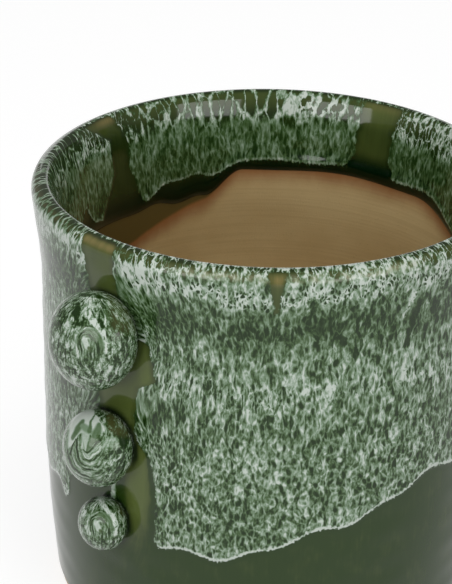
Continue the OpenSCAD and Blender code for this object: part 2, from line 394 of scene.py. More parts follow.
def crease_pool_and_shade(az, s):
    """1 where the crease above and right of a ball is dark: pooled glaze, with painted shade there too."""
    total = np.zeros_like(s)
    for k in range(3):
        right, up = arc_mm(az, BALL_AZ), s - s_outside(BALL_DROP[k])
        far = np.hypot(right, up) - BALL_D[k] / 2 * 0.8
        turn = np.degrees(np.arctan2(right, up))
        width = 1.8 + 2.8 * bump(turn, 18, 34)
        side = ramp(up + 0.9 * right, 0, 8) * (1 - 0.7 * ramp(turn, 50, 75) * (k == 0))
        total = np.maximum(total, fall(far, 0.3 * width, width) * side)
    return total * (1 - 0.5 * ramp(white_distance(az, s), -0.5, 1)) * (s < -6)


# ---- How the melted glaze ran ----

def flow(az, s):
    """Pattern coordinates, drawn round the balls as a current goes round stones."""
    x = arc_mm(az, BALL_AZ)
    shift_x, shift_y = np.zeros_like(x), np.zeros_like(x)
    for k in range(3):
        a = BALL_D[k] / 2 * 0.92
        dy = s - s_outside(BALL_DROP[k])
        rr = np.maximum(x * x + dy * dy, a * a)
        fade = (s < 4) * bump(np.sqrt(rr) / a, 0.9, 1.6)
        shift_x -= a * a * x / rr * fade
        shift_y += a * a * dy / rr * fade
    turn = np.radians(BALL_AZ) + (x + shift_x) / WALL_R
    return WALL_R * np.cos(turn), WALL_R * np.sin(turn), paced(s + shift_y)


def paced(s):
    """Stretches the pattern where the flecks ran long."""
    first, last, step = -220, 140, 0.5
    place = np.linspace(first, last, round((last - first) / step) + 1)
    length = 1 + 0.2 * bump(place, -54, 16) - 0.18 * ramp(place, -76, -92) + 0.22 * ramp(place, 6, 14)
    return np.interp(s, place, first + np.cumsum(step / length))


# ---- Meshes ----

def make_mesh(name, points, faces, attributes):
    """A smooth mesh from points in millimetres, with its attributes."""
    mesh = bpy.data.meshes.new(name)
    mesh.from_pydata((np.asarray(points) * MM).tolist(), [], faces)
    for key, value in attributes.items():
        value = np.asarray(value, np.float32)
        kind, field = ("FLOAT_VECTOR", "vector") if value.ndim == 2 else ("FLOAT", "value")
        mesh.attributes.new(key, kind, "POINT").data.foreach_set(field, value.ravel())
    mesh.polygons.foreach_set("use_smooth", [True] * len(mesh.polygons))
    mesh.update()
    return put(name, mesh)


def grid_faces(rows, columns, wrap_rows):
    """Quads of a grid, closed round its columns and, if asked, round its rows."""
    i = np.arange(rows if wrap_rows else rows - 1)[:, None]
    j = np.arange(columns)[None, :]
    a, b = i * columns + j, i * columns + (j + 1) % columns
    c = ((i + 1) % rows) * columns + (j + 1) % columns
    d = ((i + 1) % rows) * columns + j
    return np.stack([a, b, c, d], -1).reshape(-1, 4).tolist()


# ---- The glazed coat ----

COAT_COLUMNS = 400
# Between these places the rows lie close together, round the lip
LIP_FROM = -20
LIP_TO = 18
# Height of the roll along the inner line, and its rows' distances from that line
POOL_HIGH = 0.7
ROLL_ROWS = (6.2, 5.5, 4.8, 4.1, 3.4, 2.7, 2.1, 1.6, 1.1, 0.7, 0.35, 0.1, 0.0)
# Lengths over which the coat's ends round down to the clay
END_IN = 2.6
END_OUT = 0.8
# How deep the skin's back lies in the clay
BURIED = 0.5


def coat_thickness(az, s, s_stop, s_line):
    """Thickness over the clay, with the pooled roll and rounded ends."""
    white = WHITE_T * ramp(white_distance(az, s), -0.3, 1.2)
    slow = 0.1 * sines(az, 3, 7, 12, 19) * sines(4 * s, 4, 3, 7)
    ripple = slow * ramp(np.abs(s - 2), 6, 16) - 0.05
    to_line = s_line - s
    thick = GREEN_T + white + ripple + POOL_HIGH * bump(to_line, 4, 3.4)
    end_in = np.clip(to_line / END_IN, 0, 1)
    end_out = np.clip((s - s_stop) / END_OUT, 0, 1)
    return thick * np.sqrt(1 - (1 - end_in) ** 2) * np.sqrt(1 - (1 - end_out) ** 2)


def coat_rows(s_stop, s_line):
    """Rows up the front and back inside the clay, and how many are in front."""
    start = s_stop + END_OUT * (1 - np.cos(np.linspace(0, np.pi / 2, 5)))
    wall = np.linspace(s_stop + 2, LIP_FROM, 126)
    lip = np.linspace(LIP_FROM, LIP_TO, 48)[1:]
    front = [np.full(COAT_COLUMNS, s) for s in np.concatenate([start, wall, lip])]
    front += [LIP_TO + t * (s_line - 7 - LIP_TO) for t in np.linspace(0, 1, 26)[1:]]
    front += [s_line - away for away in ROLL_ROWS]
    shares = np.concatenate([np.linspace(1, 0.86, 6), np.linspace(0.84, 0.7, 10), np.linspace(0.66, 0, 6)])
    back = [s_stop + t * (s_line - s_stop) for t in shares]
    return np.array(front + back), len(front)


def coat_attributes(az, s, to_line):
    """The values that the coat's material reads."""
    pooled = fall(to_line, 6, 14) * ramp(s, 0, 5)
    painted = {"white": white_distance, "cover": white_cover, "cell": coarse_cells, "thin": thin_glaze,
               "low": low_edge, "wide": wide_cells, "cream": cream_ridge_and_highlight, "rib": ribbed_cells, "light": bare_light_and_highlight}
    attributes = {name: paint(az, s).ravel() for name, paint in painted.items()}
    # Pooled glaze along the inner line; by the balls, pooled glaze with painted shade in their creases
    attributes["pool_and_shade"] = np.maximum(pooled, 0.85 * crease_pool_and_shade(az, s)).ravel()
    attributes["station"] = s.ravel()
    attributes["flow"] = np.stack(flow(az, s), -1).reshape(-1, 3)
    return attributes


def build_coat():
    """Both glazes as one closed skin, from low outside to the inner line."""
    az = np.arange(COAT_COLUMNS) * 360 / COAT_COLUMNS
    s_stop = float(s_outside(POT_H - BASE_ROUND - BARE_BAND))
    line = s_inside(inner_green_d(az))
    s, front = coat_rows(s_stop, line)
    turn, s_line = np.tile(az, (len(s), 1)), np.tile(line, (len(s), 1))
    lift = coat_thickness(turn, s, s_stop, s_line)
    lift[front:] = -BURIED
    r, z, nr, nz = on_meridian(s)
    r, z = r + nr * (lift - COAT_T), z + nz * (lift - COAT_T)
    angle = np.radians(turn)
    points = np.stack([r * np.cos(angle), r * np.sin(angle), z], -1).reshape(-1, 3)
    faces = grid_faces(len(s), COAT_COLUMNS, True)
    piece = make_mesh("glaze_coat", points, faces, coat_attributes(turn, s, s_line - s))
    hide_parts("green_glaze", "white_glaze")
    return piece


# ---- The balls ----

FILLET = 1.6
BALL_SINK = 0.35
# Each dome's spokes and rings, and the steps along a ray that finds its surface
SPOKES = (240, 240, 150)
RINGS = (130, 130, 90)
RAY_STEPS = (200, 200, 160)
# Degrees from a ball's tip to past its meeting with the wall
FIRST_TILT = 0.6
LAST_TILT = 128
TILT_STEPS = 220


def ball_place(k):
    """Height of ball k's centre, its distance from the axis, half width and half depth."""
    a, b = BALL_D[k] / 2, BALL_D[k] * BALL_FLATNESS / 2
    return POT_H - BALL_DROP[k], float(outer_r(BALL_DROP[k])) + STAND_SHARE * b, a, b


def on_round(k, u, v, w):
    """A point of ball k, drawn back from its leaning oval to a sphere of radius 1."""
    _, _, a, b = ball_place(k)
    wide, cos, sin = math.sqrt(BALL_OVAL), math.cos(BALL_LEAN), math.sin(BALL_LEAN)
    up_lean = (u * cos + v * sin) / (a * wide)
    off_lean = (v * cos - u * sin) * wide / a
    return np.stack([up_lean * cos - off_lean * sin, up_lean * sin + off_lean * cos, w / b], -1)


def ball_field(k, x, y, z):
    """Below 0 in ball k or the wall, joined by a small fillet."""
    high, stand, _, b = ball_place(k)
    ball = (np.linalg.norm(on_round(k, x, z - high, -y - stand), axis=-1) - 1) * b
    skin = np.hypot(x, y) - outer_r(POT_H - z) + BALL_SINK
    h = np.clip(0.5 + 0.5 * (skin - ball) / FILLET, 0, 1)
    return skin * (1 - h) + ball * h - FILLET * h * (1 - h)


def from_centre(k, far, tilt, spin):
    """The point at a distance from ball k's centre, tilted off its axis and spun."""
    high, stand, _, _ = ball_place(k)
    x = far * np.sin(tilt) * np.cos(spin)
    z = high + far * np.sin(tilt) * np.sin(spin)
    return x, -(stand + far * np.cos(tilt)), z


def ray_exits(k, tilt, spin):
    """How far out each ray leaves ball k's glaze, and whether it does."""
    _, _, a, b = ball_place(k)
    far = np.linspace(0.55 * b, 1.42 * a, RAY_STEPS[k])
    t, p, q = np.meshgrid(tilt, spin, far, indexing="ij")
    field = ball_field(k, *from_centre(k, q, t, p))
    out = (field[..., 1:] >= 0) & (field[..., :-1] < 0)
    first = out.argmax(-1)
    before = np.take_along_axis(field, first[..., None], -1)[..., 0]
    after = np.take_along_axis(field, first[..., None] + 1, -1)[..., 0]
    rise = np.where(after - before == 0, 1, after - before)
    return far[first] + (far[1] - far[0]) * (-before) / rise, out.any(-1)


def dome_rows(k, spin):
    """Rings of points from ball k's tip to the wall."""
    tilt = np.radians(np.linspace(FIRST_TILT, LAST_TILT, TILT_STEPS))
    hit, found = ray_exits(k, tilt, spin)
    last = np.where(found.all(0), TILT_STEPS, found.argmin(0)) - 2
    spoke = np.arange(len(spin))
    rows = []
    for share in np.linspace(0, 1, RINGS[k]):
        low = np.floor(share * last).astype(int)
        above = np.minimum(low + 1, last)
        part = share * last - low
        far = hit[low, spoke] * (1 - part) + hit[above, spoke] * part
        rows.append(np.stack(from_centre(k, far, tilt[low] * (1 - part) + tilt[above] * part, spin), -1))
    return rows


def drawn_in(ring, high, share):
    """A ring of points, drawn in towards a ball's axis."""
    x, y, z = ring.T
    return np.stack([x * share, y, high + (z - high) * share], -1)


def sunk_rows(edge, high):
    """Two smaller rings that close a dome inside the clay."""
    inward = drawn_in(edge, high, 0.9) + (0, 3, 0)
    core = drawn_in(inward, high, 0.1)
    core[:, 1] = inward[:, 1].mean() + 1
    return [inward, core]


def ball_attributes(k, points):
    """The values that ball k's material reads."""
    high, stand, a, _ = ball_place(k)
    u, v, w = points[:, 0], points[:, 2] - high, -points[:, 1] - stand
    n = on_round(k, u, v, w)
    attributes = marbling(k, *chart(k, u, v, w), downward(n, a))
    attributes["local"] = np.stack([u, v, w], -1)
    # rim: painted shade, with pooled glaze, where the ball turns in to meet the wall, strongest on its upper
    # and right side
    attributes["rim"] = ramp(-n[:, 2], 0.42, 0.66) * (0.35 + 0.65 * ramp(n[:, 1] + 0.6 * n[:, 0], -0.1, 0.5))
    return attributes


def build_ball(k, name):
    """Ball k and the glaze round it, as one closed dome sunk into the clay."""
    spokes = SPOKES[k]
    rows = dome_rows(k, np.arange(spokes) * 2 * np.pi / spokes)
    rows += sunk_rows(rows[-1], ball_place(k)[0])
    points = np.array(rows).reshape(-1, 3)
    faces = grid_faces(len(rows), spokes, False)
    faces.append(list(range(spokes))[::-1])
    faces.append([(len(rows) - 1) * spokes + j for j in range(spokes)])
    piece = make_mesh(name + "_dressed", points, faces, ball_attributes(k, points))
    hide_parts(name, name + "_slip", name + "_glaze")
    return piece


# ---- Marbling of the balls ----

# Where the swirl's eye lies on each ball: right, up and out from its centre
EYES = ((0.48, 0.32, 0.82), (0.56, 0.42, 0.72), (0.45, 0.35, 0.82))
# Up and right as the camera sees them, in the same three directions
CHART_UP = (-0.303, 0.899, -0.316)
CHART_RIGHT = (0.738, 0.011, -0.674)


def chart(k, u, v, w):
    """Distances right and up from the swirl's eye over ball k, in millimetres."""
    n = on_round(k, u, v, w)
    n = n / np.linalg.norm(n, axis=-1, keepdims=True)
    eye = np.array(EYES[k]) / np.linalg.norm(EYES[k])
    up = np.array(CHART_UP) - np.dot(CHART_UP, eye) * eye
    up = up / np.linalg.norm(up)
    right = np.cross(up, eye)
    right = right * np.sign(np.dot(right, CHART_RIGHT))
    cosine = np.clip(n @ eye, -1, 1)
    size = np.arccos(cosine) * BALL_D[k] / 2 / np.sqrt(np.maximum(1 - cosine * cosine, 1e-9))
    return (n @ right) * size, (n @ up) * size


def downward(n, a):
    """Pattern coordinates whose third runs down the ball from its top."""
    n = n / np.linalg.norm(n, axis=-1, keepdims=True)
    round_axis = np.maximum(np.hypot(n[:, 0], n[:, 2]), 1e-6)
    return a * n[:, 0] / round_axis, a * n[:, 2] / round_axis, a * np.arcsin(np.clip(n[:, 1], -1, 1))


def curved(points):
    """A bent line of points with its corners cut twice."""
    line = np.array(points, float)
    for _ in range(2):
        early, late = 0.75 * line[:-1] + 0.25 * line[1:], 0.25 * line[:-1] + 0.75 * line[1:]
        line = np.concatenate([line[:1], np.stack([early, late], 1).reshape(-1, line.shape[1]), line[-1:]])
    return line


class Painting:
    """Soft strokes laid over a ball's chart."""

    def __init__(self, p, q):
        self.p = p + 0.22 * np.sin(0.55 * q + 1) + 0.12 * np.sin(1.3 * q + 0.4 * p)
        self.q = q + 0.22 * np.sin(0.5 * p + 2) + 0.12 * np.sin(1.2 * p - 0.5 * q)
        self.level = np.full_like(p, 0.4)
        self.calm = np.zeros_like(p)
        self.shift = np.zeros_like(p)

    def ribbon(self, *points):
        """1 on a soft band through (p, q, half width) points."""
        value = np.zeros_like(self.p)
        line = curved(points)
        for (x0, y0, w0), (x1, y1, w1) in zip(line[:-1], line[1:]):
            dx, dy = x1 - x0, y1 - y0
            t = np.clip(((self.p - x0) * dx + (self.q - y0) * dy) / (dx * dx + dy * dy), 0, 1)
            far = np.hypot(self.p - x0 - t * dx, self.q - y0 - t * dy) / (w0 + t * (w1 - w0))
            value = np.maximum(value, fall(far, 0.6, 1.4))
        return value

    def lay(self, mask, level, calm=1):
        """A calm area of one tone."""
        self.level += mask * (level - self.level)
        self.calm = np.maximum(self.calm, mask * calm)

    def stroke(self, level, calm, *points):
        """A calm band of one tone."""
        self.lay(self.ribbon(*points), level, calm)

    def lift(self, amount, *points):
        """Lightens or darkens the mottle under a band."""
        self.shift += amount * self.ribbon(*points)


def eyed_marbling(p, q, down):
    """A mottled ball with a small eye and rings over it."""
    art = Painting(p, q)
    r = np.hypot(p, q)
    # Pale bands over the eye and down its right, and pale spots
    art.lift(0.48, (-0.5, 19.5, 2.4), (0.8, 14.5, 2.6), (0.6, 10.8, 1.5), (3.4, 7.6, 1.4), (7.5, 3.3, 1.3),
             (8.6, -1.4, 1.3), (8, -4, 0.8))
    art.lift(0.42, (-10.5, 7, 1.6), (-9.4, 5, 1.9))
    art.lift(0.38, (-6.6, -1.6, 1.3), (-6.2, -3.6, 1.5))
    art.lift(0.45, (9.4, -11.4, 1.3), (8.2, -13.6, 1.6))
    art.lift(0.4, (-10.2, -17, 1.1), (-9.4, -19.5, 1))
    # Dark patches between them and on the upper left; the last two darken the top and right edges as painted
    # shade by the crease
    art.lift(-0.55, (-5.4, 17, 1.2), (-5.2, 13.5, 2), (-5.8, 9.8, 0.9))
    art.lift(-0.55, (5.2, 8.8, 1), (6.5, 6.4, 1.1))
    art.lift(-0.45, (12.9, 12.1, 1), (12.6, 6.7, 1.1))
    art.lift(-0.25, (-17, 8, 4), (-13, 12, 3))
    art.lift(-0.2, (-4, 23.5, 2), (4, 23.5, 1.6), (12, 20, 1.4))
    art.lift(-0.25, (17.5, 9, 3.5), (19, -2, 3), (17, -9, 2.5))
    # The ring over the eye, dark lines below it, and the white eye
    art.stroke(0.42, 0.8, (-0.6, 5.1, 0.5), (2, 4.6, 0.9), (4.6, 2.6, 1.1), (6, 0.2, 1), (7, -2.2, 0.7))
    art.stroke(0.34, 0.7, (9, 13.4, 1), (9.8, 10.8, 1.3))
    art.stroke(0.1, 0.7, (-4.6, -3, 0.3), (-4.4, 0.6, 0.35), (-2.6, 3, 0.35), (0.6, 3.3, 0.4),
               (2.9, 1.6, 0.4), (4.2, -1.5, 0.4), (4.4, -8.8, 0.3))
    art.stroke(0.12, 0.7, (0.6, -4.4, 0.4), (0.2, -11.2, 0.25))
    art.stroke(0.14, 0.6, (2.3, -3.4, 0.35), (2, -11.2, 0.25))
    art.stroke(1, 0.9, (-1.2, 0.8, 1.7), (-0.5, -1.4, 1.5))
    art.stroke(0.3, 0.6, (0.2, -2, 0.7), (0.5, -3.2, 0.5))
    lines = ramp(r, 0, 2) * fall(r, 5, 8.5)
    brown = 0.6 * ramp(p, 8, 14) * ramp(q, 1, 8) + 0.6 * bump(np.hypot(p - 0.2, q + 2.4), 0, 0.9)
    turn = np.where(q > 0, np.arctan2(p, np.maximum(q, 1e-6)), np.sign(p) * np.pi / 2)
    length = 6 * turn + np.sign(p) * np.maximum(-q, 0)
    return art, lines, brown, (np.hypot(p, np.maximum(q, 0)), length), down


def swirled_marbling(p, q):
    """A ball with a smooth white patch, green strokes and nested swirl lines."""
    art = Painting(p, q)
    p, q = art.p, art.q
    right = along(q, (2, 3), (5.1, 3.7), (8.9, 3.5), (13.4, 1.5), (18.2, -1.2))
    # The white patch, its hanging tongue, and the green strokes across it
    floor = along(p, (-19, -2.5), (-13, 0.5), (-9, 5.5), (-2, 5.5), (2, 6.5))
    patch = ramp(right - p, 0, 0.7) * ramp(q - floor, -0.8, 0.8) * ramp(p, -20, -15)
    art.lay(patch, 1)
    art.stroke(0.9, 0.9, (-6.6, 6.8, 2.6), (-5.8, 3.2, 1.9), (-5.7, 0.2, 1), (-5.8, -2, 0.3))
    art.stroke(0.42, 0.9, (-7.6, 12.2, 1.2), (-9.2, 9.9, 1.9), (-11, 7.6, 1.8), (-13.2, 4.6, 1.2))
    art.stroke(0.6, 0.8, (-7.9, 9.6, 1.2), (-6.3, 8.5, 1.9), (-4.6, 7.4, 1.7))
    art.stroke(0.42, 0.9, (-0.6, 17.5, 0.35), (-2.6, 13.4, 0.5), (-3.7, 10.2, 0.65), (-3.8, 8.6, 0.8),
               (-4.3, 6.8, 1.1))
    art.stroke(0.44, 0.9, (0.9, 10.6, 0.9), (-0.1, 8, 1.8), (-1.4, 5.5, 1.9), (-2.9, 2.8, 1.4),
               (-4.6, 0, 0.8), (-5.7, -2.2, 0.25))
    # Thin lines that bound the patch below and on the right
    art.stroke(0.02, 0.9, (-11.2, 3.6, 0.25), (-13.5, 0, 0.5), (-15.4, -3.4, 0.7))
    art.stroke(0.05, 0.8, (1.9, 4.4, 0.3), (-2.4, 0.1, 0.5), (-5.4, -2.9, 0.4), (-7.2, -1.4, 0.2))
    art.stroke(0.8, 0.8, (2.2, 3.2, 0.3), (-2, -0.9, 0.35), (-5.6, -3.9, 0.35), (-8.2, -2, 0.25))
    art.stroke(0.85, 0.8, (1.5, 13.4, 0.2), (3.6, 8.9, 0.35), (3.8, 5.1, 0.35), (3.1, 2, 0.3),
               (2.1, -0.9, 0.2))
    # White spots below it, a pale band, and painted shade beyond it towards the ball's right edge
    art.stroke(0.95, 0.7, (1.2, 0.6, 0.7), (0.4, -0.8, 0.4))
    art.stroke(0.95, 0.7, (0.2, -5.6, 0.5), (-0.2, -7, 0.7))
    art.stroke(0.95, 0.7, (-2.4, -9, 0.7), (-0.8, -9.4, 0.6))
    art.stroke(0.9, 0.6, (-8.6, -12.6, 0.5), (-5.4, -13.6, 0.6), (-4, -13, 0.4))
    art.stroke(0.76, 0.62, (4.2, 1.9, 2.5), (8.4, 2.6, 2.8))
    art.lift(-0.36, (7, 15, 3), (9, 9, 4), (13.5, 3, 3))
    art.lift(-0.2, (15, 6, 3.5), (15, -4, 3), (11, -11, 2.5))
    # Lines nested round a fold: upright left of it, leaning right of it, round below
    c, h = p + 5.6, q + 3
    lean = 0.88
    size = 1.332
    beside = (c + lean * h) / size
    across = np.where(beside > 0, (lean * c - h) / size, np.hypot(c, h))
    across = np.where((h > 0) & (c <= 0), -c, across)
    lines = fall(p, 0, 4) * fall(q, 2, 6) * ramp(q, -20, -15)
    brown = 0.8 * ramp(p, 4, 6) * ramp(q, 4, 8)
    return art, lines, brown, (across, p), (0.91 * p - 0.4 * q, np.zeros_like(p), 0.4 * p + 0.91 * q)


def marbling(k, p, q, down):
    """Attributes of ball k's marbled glaze."""
    if k == 1:
        art, lines, brown, swirl, strokes = swirled_marbling(p, q)
    else:
        art, lines, brown, swirl, strokes = eyed_marbling(p, q, down)
    return {"swirl": np.stack([*swirl, np.zeros_like(p)], -1), "strokes": np.stack(strokes, -1),
            "lines": lines, "brown": brown, "level": art.level, "calm": art.calm, "shift": art.shift}


# ---- Materials ----

class Graph:
    """Builds the nodes of a material or of the world."""

    def __init__(self, name, kind=bpy.data.materials):
        self.owner = kind.new(name)
        self.owner.use_nodes = True
        self.tree = self.owner.node_tree
        self.tree.nodes.clear()

    def feed(self, socket, value):
        if isinstance(value, bpy.types.NodeSocket):
            self.tree.links.new(value, socket)
        else:
            socket.default_value = value

    def add(self, kind, inputs, **settings):
        """A node whose inputs take values or other nodes' outputs."""
        node = self.tree.nodes.new(kind)
        for key, value in settings.items():
            setattr(node, key, value)
        for key, value in inputs.items():
            self.feed(node.inputs[key], value)
        return node

    def attribute(self, name, field="Fac"):
        return self.add("ShaderNodeAttribute", {}, attribute_name=name).outputs[field]

    def attributes(self, *names):
        return [self.attribute(name) for name in names]

    def math(self, operation, a, b=0, c=0, clamp=False):
        node = self.add("ShaderNodeMath", {0: a, 1: b, 2: c}, operation=operation, use_clamp=clamp)
        return node.outputs[0]

    def plus(self, a, *others):
        for b in others:
            a = self.math("ADD", a, b)
        return a

    def minus(self, a, b):
        return self.math("SUBTRACT", a, b)

    def times(self, a, *others):
        for b in others:
            a = self.math("MULTIPLY", a, b)
        return a

    def larger(self, a, b):
        return self.math("MAXIMUM", a, b)

    def clamped(self, a, factor=1):
        """A product, kept within 0 and 1."""
        return self.math("MULTIPLY", a, factor, clamp=True)

    def vector(self, operation, a, b):
        return self.add("ShaderNodeVectorMath", {0: a, 1: b}, operation=operation).outputs[0]

    def spread(self, a, *amounts):
        return self.vector("MULTIPLY", a, amounts)

    def scaled(self, a, amount):
        return self.add("ShaderNodeVectorMath", {0: a, "Scale": amount}, operation="SCALE").outputs[0]

    def step(self, x, low, high, to_low=0, to_high=1):
        """A smooth step of x from low to high."""
        inputs = {"Value": x, "From Min": low, "From Max": high, "To Min": to_low, "To Max": to_high}
        return self.add("ShaderNodeMapRange", inputs, interpolation_type="SMOOTHSTEP").outputs[0]

    def noise(self, where, detail=2, rough=0.5, bend=0, field=0):
        inputs = {"Vector": where, "Scale": 1, "Detail": detail, "Roughness": rough, "Distortion": bend}
        return self.add("ShaderNodeTexNoise", inputs).outputs[field]

    def push(self, where, rough):
        """A slow noise of three numbers, each swinging round 0."""
        return self.vector("SUBTRACT", self.noise(where, 2, rough, field=1), (0.5, 0.5, 0.5))

    def cells(self, where, feature="DISTANCE_TO_EDGE"):
        """Distance to the nearest edge or, with F1, to the nearest cell's middle."""
        node = self.add("ShaderNodeTexVoronoi", {"Vector": where, "Scale": 1}, feature=feature)
        return node.outputs["Distance"]

    def cell_pick(self, where):
        """A random number of its own for every cell."""
        node = self.add("ShaderNodeTexVoronoi", {"Vector": where, "Scale": 1})
        return self.add("ShaderNodeSeparateColor", {0: node.outputs["Color"]}).outputs[0]

    def blend(self, share, a, b):
        return self.add("ShaderNodeMix", {0: share, 6: a, 7: b}, data_type="RGBA").outputs[2]

    def lerp(self, share, a, b):
        return self.add("ShaderNodeMix", {0: share, 2: a, 3: b}, data_type="FLOAT").outputs[0]

    def ramp(self, x, *stops):
        node = self.add("ShaderNodeValToRGB", {0: x})
        band = node.color_ramp
        while len(band.elements) < len(stops):
            band.elements.new(0.5)
        for element, (place, colour) in zip(band.elements, stops):
            element.position = place
            element.color = colour
        return node.outputs[0]

    def relief(self, height):
        """The normal of a relief in millimetres."""
        return self.add("ShaderNodeBump", {"Height": height, "Distance": MM}).outputs[0]

    def surface(self, colour, rough, normal, ior):
        inputs = {"Base Color": colour, "Roughness": rough, "Normal": normal, "IOR": ior}
        return self.finished(self.add("ShaderNodeBsdfPrincipled", inputs))

    def finished(self, shader):
        self.add("ShaderNodeOutputMaterial", {"Surface": shader.outputs[0]})
        return self.owner


def srgb(r, g, b):
    """A colour from its 0 to 255 display values."""
    def linear(v):
        v = v / 255
        return v / 12.92 if v <= 0.04045 else ((v + 0.055) / 1.055) ** 2.4
    return (linear(r), linear(g), linear(b), 1)


GREEN_DARK = srgb(22, 46, 7)
OLIVE_DEEP = srgb(34, 48, 16)
OLIVE_LIGHT = srgb(86, 99, 47)
GLASS_GREEN = srgb(31, 56, 11)
OCHRE = srgb(132, 118, 74)
# Cream of the ridge, pale enough to stand as a painted highlight
CREAM_AND_HIGHLIGHT = srgb(173, 172, 143)
# Near black of pooled glaze, also used as painted shade in the creases by the balls
POOLED_AND_SHADE = srgb(1, 23, 5)
GREEN_MID = srgb(68, 94, 54)
MINT = srgb(121, 145, 117)
WHITE = srgb(166, 182, 166)
BRIGHT = srgb(198, 208, 198)
BALL_GLASS = srgb(58, 60, 26)
BALL_HAZE = srgb(96, 98, 62)
# Pooled glaze and painted shade where a ball meets the wall
BALL_CREASE_POOL_AND_SHADE = srgb(16, 24, 9)
CLAY_DULL = srgb(206, 180, 129)
CLAY_PALE = srgb(216, 192, 141)
CLAY_RING = srgb(168, 136, 90)
CLAY_GRAIN = srgb(134, 102, 66)
# Brown stain below the green line, deepened as painted shade under the glaze roll
WASH_BROWN_AND_SHADE = srgb(150, 97, 51)
WASH_OLIVE = srgb(96, 80, 34)
GLAZE_ROUGH = 0.07
GLAZE_IOR = 1.42
CLAY_ROUGH = 0.75
CLAY_IOR = 1.45
# Cover at which the lip's threads neither swell nor thin
LACE_COVER = 0.42
# How closely the rings of each ball's swirl lie
RING_PITCH = (1.0, 0.68, 1.0)


def centred(g, value, amount):
    """A 0 to 1 noise turned into a swing of both signs."""
    return g.times(g.minus(value, 0.5), amount)


def bent_by(g, where, scale, amount):
    """Coordinates pushed about by a slower noise."""
    push = g.push(g.spread(where, *scale), 0.55)
    return g.vector("ADD", where, g.spread(push, *amount))


def stretched(g, where, wide, long):
    """Coordinates for a pattern of that width and length in millimetres."""
    return g.spread(where, 1 / wide, 1 / wide, 1 / long)


def glaze_colour(g, tone, under):
    """From the bare green glass, through hazy greens, to opaque white."""
    haze = g.ramp(tone, (0, GREEN_DARK), (0.36, GREEN_MID), (0.62, MINT), (0.86, WHITE), (1, BRIGHT))
    return g.blend(g.step(tone, 0.06, 0.34), under, haze)


def wall_flecks(g, where, bent, cover):
    """Fine slits of green in the white, with round holes where it is thick."""
    crooked = bent_by(g, bent, (0.8, 0.8, 0.35), (1, 1, 2))
    slits = stretched(g, crooked, 2.05, 4.3)
    web = g.step(g.cells(slits), 0, 0.32, 1, 0)
    fine = g.noise(stretched(g, bent, 1.65, 3.9), 3.5, 0.6)
    broad = g.noise(stretched(g, bent, 3.5, 7.8))
    patch = g.noise(stretched(g, where, 10, 14))
    knots = g.cells(stretched(g, crooked, 5.2, 6.4), "F1")
    small = stretched(g, crooked, 1.25, 2.1)
    hole = g.times(g.step(g.cells(small), 0.08, 0.3), g.step(g.cell_pick(small), 0.25, 0.45))
    band = g.step(cover, 0.48, 0.6)
    total = g.plus(centred(g, fine, 2), centred(g, g.cell_pick(slits), 0.34), centred(g, broad, 0.85),
                   centred(g, patch, 0.5), centred(g, web, 0.36), g.step(knots, 0.28, 0.06, 0, 0.38),
                   g.times(band, g.times(hole, -0.9)), g.plus(cover, g.times(band, 0.13)))
    return g.larger(total, g.step(fine, 0.36, 0.66, 0.02, 0.27))


def lace_reach(g, where, cover, rib, bold):
    """Half width of the lip's threads, as a share of a cell."""
    width = g.noise(stretched(g, where, 3.4, 5), 1, 0.5)
    reach = g.plus(g.step(width, 0.36, 0.66, 0.08, 0.38), g.times(g.minus(cover, LACE_COVER), 1.1))
    reach = g.plus(g.larger(reach, 0.05), g.times(rib, 0.07))
    return g.times(reach, g.plus(1, g.times(bold, 0.25)))


def lip_lace(g, where, bent, cover):
    """White threads round the lip's cells, with small dark holes."""
    wide, rib = g.attributes("wide", "rib")
    crooked = bent_by(g, bent, (0.8, 0.8, 0.5), (1.5, 1.5, 2.2))
    near = g.cells(stretched(g, crooked, 2.2, 5))
    far = g.cells(stretched(g, crooked, 4.8, 12))
    ribs = g.cells(stretched(g, bent, 3.7, 11))
    edge = g.lerp(rib, g.lerp(wide, near, g.times(far, 1.5)), ribs)
    bold = g.times(wide, g.step(cover, 0.46, 0.58))
    reach = g.plus(lace_reach(g, where, cover, rib, bold), 0.02)
    thread = g.minus(1, g.math("DIVIDE", edge, reach, clamp=True))
    thread = g.clamped(thread, g.plus(1, g.times(bold, 0.9)))
    blob = g.noise(stretched(g, crooked, 2.6, 4.6), 1.5)
    speck = g.noise(stretched(g, bent, 0.85, 1.6), 2, 0.58)
    eyelets = stretched(g, crooked, 3.4, 4.4)
    eyelet = g.times(g.step(g.cells(eyelets, "F1"), 0.52, 0.36), g.step(g.cell_pick(eyelets), 0.15, 0.25))
    clean = g.larger(wide, rib)
    return g.plus(thread, g.times(bold, g.plus(0.05, g.times(eyelet, -1.4))),
                  centred(g, blob, g.lerp(clean, 2, 1.1)), centred(g, speck, g.lerp(clean, 2.3, 1.1)),
                  g.times(g.minus(cover, LACE_COVER), g.minus(1, bold)), g.lerp(clean, 0.06, -0.08))


